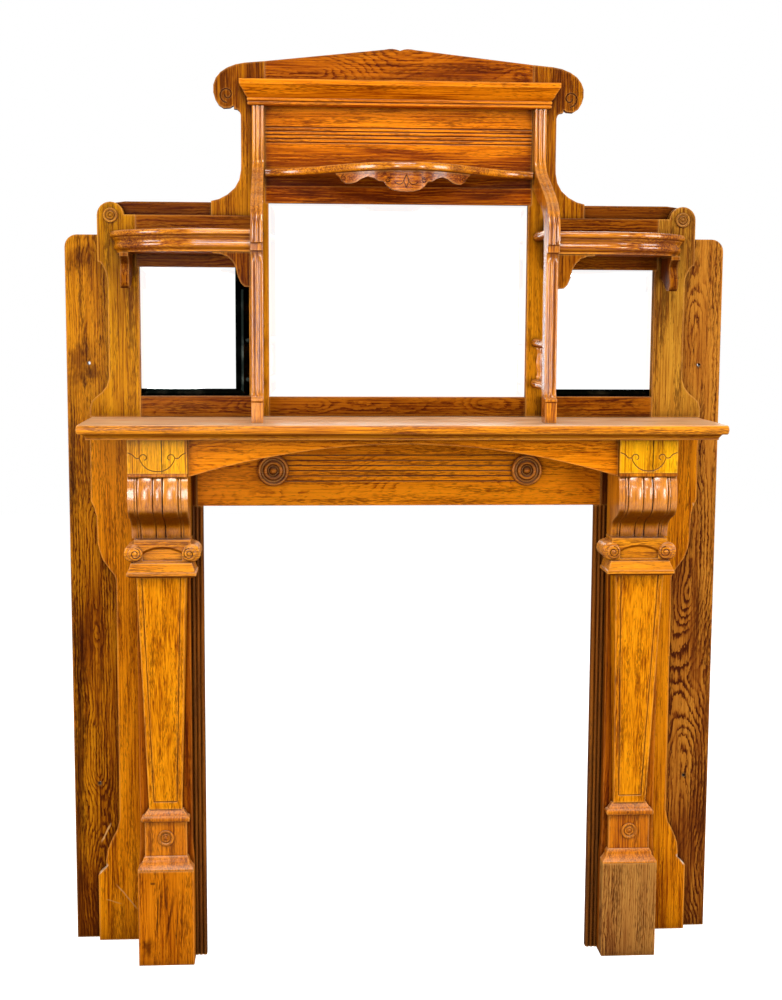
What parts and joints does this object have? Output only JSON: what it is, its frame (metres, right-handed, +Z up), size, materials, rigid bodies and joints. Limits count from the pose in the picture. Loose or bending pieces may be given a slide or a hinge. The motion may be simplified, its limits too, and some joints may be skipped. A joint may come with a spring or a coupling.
{
  "type": "fireplace mantel with mirrored overmantel",
  "caption": "Oak fireplace mantel: tapered pilasters and consoles carry a moulded shelf, under a mirrored overmantel with slender posts, rounded wing shelves and a scrolled crest.",
  "frame": {"origin": "middle of the footprint, at floor height", "axes": "+X to the viewer's right along the mantel, +Y back towards the wall, +Z up"},
  "size_m": [1.524, 0.328, 2.0856],
  "materials": {
    "oak": "golden oak under worn satin varnish",
    "dark_oak": "darker brown oak under worn satin varnish",
    "mirror": "bevelled silvered glass"
  },
  "bodies": {
    "root": {"back_board_right": "oak", "back_board_left": "oak", "pier_board_right": "oak", "pier_board_left": "oak", "pilaster_backing_right": "oak", "pilaster_backing_left": "oak", "pilaster_side_right": "oak", "pilaster_side_left": "oak", "plinth_block_right": "oak", "plinth_block_left": "oak", "pedestal_die_right": "oak", "pedestal_die_left": "oak", "pilaster_shaft_right": "oak", "pilaster_shaft_left": "oak", "scroll_capital_right": "oak", "scroll_capital_left": "oak", "console_right": "oak", "console_left": "oak", "frieze_block_right": "oak", "frieze_block_left": "oak", "jamb_moulding_right": "dark_oak", "jamb_moulding_left": "dark_oak", "frieze_panel": "dark_oak", "roundel_right": "oak", "roundel_left": "oak", "arched_board": "oak", "mantel_shelf": "oak", "outer_stile_right": "oak", "outer_stile_left": "oak", "wing_top_rail_right": "oak", "wing_top_rail_left": "oak", "wing_bottom_rail_right": "oak", "wing_bottom_rail_left": "oak", "wing_back_board_right": "dark_oak", "wing_back_board_left": "dark_oak", "wing_mirror_right": "mirror", "wing_mirror_left": "mirror", "centre_mirror": "mirror", "centre_back_board": "dark_oak", "crested_stile_right": "oak", "crested_stile_left": "oak", "crest_board": "oak", "upper_panel": "oak", "centre_bottom_rail": "oak", "cornice": "oak", "centre_shelf": "oak", "centre_apron": "oak", "wing_shelf_right": "oak", "wing_shelf_left": "oak", "inner_bracket_right": "dark_oak", "inner_bracket_left": "dark_oak", "outer_bracket_right": "dark_oak", "outer_bracket_left": "dark_oak", "front_post_right": "oak", "front_post_left": "oak", "post_rail_right": "oak", "post_rail_left": "oak", "post_gallery_right": "oak", "post_gallery_left": "oak"}
  },
  "joints": []
}
